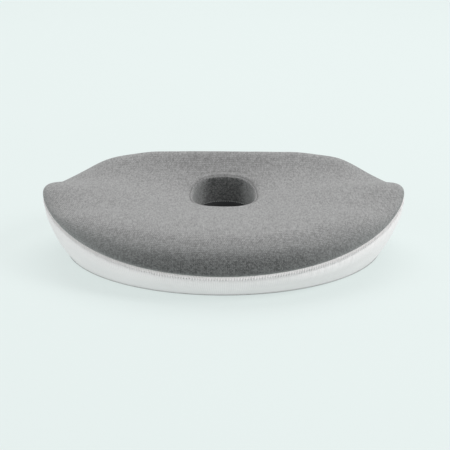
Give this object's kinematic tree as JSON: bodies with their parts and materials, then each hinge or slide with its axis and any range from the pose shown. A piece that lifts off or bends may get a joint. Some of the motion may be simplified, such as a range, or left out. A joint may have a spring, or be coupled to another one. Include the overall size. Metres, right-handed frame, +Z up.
{
  "type": "seat cushion",
  "caption": "Contoured foam seat cushion with a rounded hole, raised back, knit top, white side band, non-slip base and a rear zip.",
  "frame": {"origin": "centre of the footprint, on the ground under the base panel", "axes": "+Z up, -Y towards the front edge (the sitter's knees), +X to the left of someone sitting on it"},
  "size_m": [0.4506, 0.3363, 0.0984],
  "materials": {
    "knit_grey": "heathered fine knit, matt",
    "cloth_white": "finely ribbed woven cloth, matt",
    "cloth_dark": "plain dark cloth, matt",
    "thread_light": "sewing thread",
    "thread_white": "sewing thread",
    "dots": "soft silicone, slightly glossy",
    "foam": "open-cell memory foam, matt",
    "liner": "thin tricot, matt",
    "zip_cloth": "woven zip tape",
    "zip_coil": "nylon coil",
    "zip_metal": "plated die-cast metal"
  },
  "bodies": {
    "cushion": {"foam_core": "foam", "liner_top": "liner", "liner_sleeve": "liner", "liner_base": "liner", "top_panel": "knit_grey", "hole_sleeve_upper": "knit_grey", "hole_sleeve_lower": "cloth_dark", "side_band": "cloth_white", "back_strip_upper": "cloth_white", "back_strip_lower": "cloth_white", "base_panel": "cloth_dark", "grip_dots": "dots", "top_seam": "thread_light", "band_topstitch": "thread_white", "base_seam": "thread_white", "rim_seam": "thread_light", "sleeve_seam": "thread_light", "zip_tape_upper": "zip_cloth", "zip_tape_lower": "zip_cloth", "zip_coil_upper": "zip_coil", "zip_coil_lower": "zip_coil", "zip_bottom_stop": "zip_metal", "zip_top_stops": "zip_metal", "zip_end_tabs": "cloth_white"},
    "slider": {"zip_slider": "zip_metal"},
    "puller": {"zip_puller": "zip_metal"}
  },
  "joints": [
    {"name": "zip_slide", "type": "slide", "parent": "cushion", "child": "slider", "axis": [-1, 0, 0], "range_m": [0, 0.144]},
    {"name": "puller_hinge", "type": "hinge", "parent": "slider", "child": "puller", "pos_m": [0.072, 0.16485, 0.03481], "axis": [0, -0.356, -0.9345], "range_deg": [0, 160]}
  ]
}
